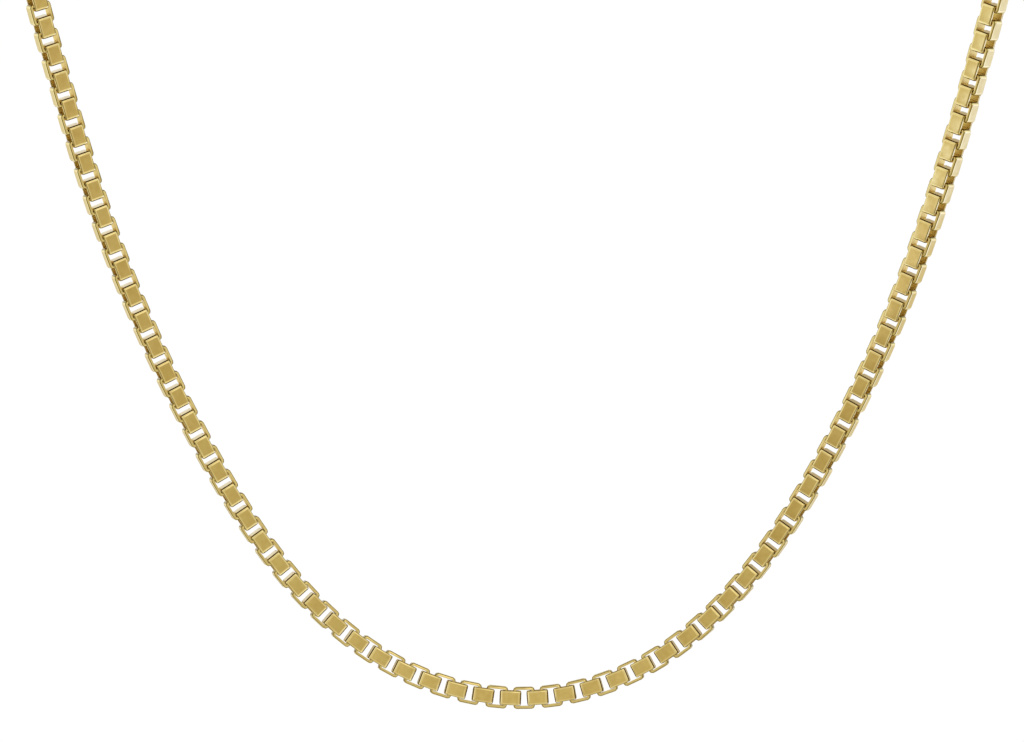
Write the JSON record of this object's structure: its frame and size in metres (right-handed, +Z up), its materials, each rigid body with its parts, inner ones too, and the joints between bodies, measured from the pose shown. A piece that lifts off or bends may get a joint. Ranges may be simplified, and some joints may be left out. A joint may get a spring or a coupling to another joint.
{
  "type": "box chain necklace",
  "caption": "Yellow gold box chain necklace: square links bent from flat strip, turned a quarter turn in alternation, hung in a U and closed behind the neck by a lobster clasp.",
  "frame": {"origin": "middle of the neck hollow, at the height of the clasp behind the neck", "axes": "+Z up, -Y to the wearer's front, where the U hangs; +X to the right as seen from the front"},
  "size_m": [0.1353, 0.0755, 0.1311],
  "materials": {
    "gold_links": "polished 14 carat yellow gold, with fine brushing on the flat faces",
    "gold_findings": "polished 14 carat yellow gold"
  },
  "bodies": {
    "root": {"box_links": "gold_links", "clasp_ring": "gold_findings", "clasp": "gold_findings", "end_ring": "gold_findings"}
  },
  "joints": []
}
